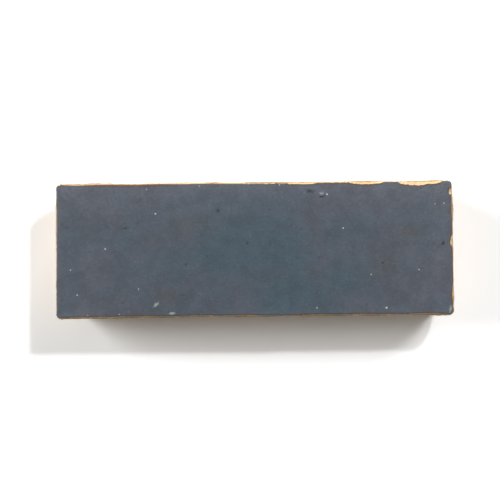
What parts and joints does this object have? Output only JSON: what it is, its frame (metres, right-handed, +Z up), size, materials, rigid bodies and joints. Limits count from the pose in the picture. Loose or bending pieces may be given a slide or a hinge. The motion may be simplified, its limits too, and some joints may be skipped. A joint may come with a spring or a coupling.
{
  "type": "zellige tile",
  "caption": "Long rectangular hand-cut clay tile with a dark slate-blue glazed face, undercut sides, chipped edges and a flat unglazed back.",
  "frame": {"origin": "middle of the unglazed back, which lies on the floor plane", "axes": "+X along the tile towards its right end, +Y across it towards the far side, +Z up out of the glazed face"},
  "size_m": [0.15, 0.0508, 0.018],
  "materials": {
    "glazed_clay": "satin"
  },
  "bodies": {
    "root": {"zellige_tile": "glazed_clay"}
  },
  "joints": []
}
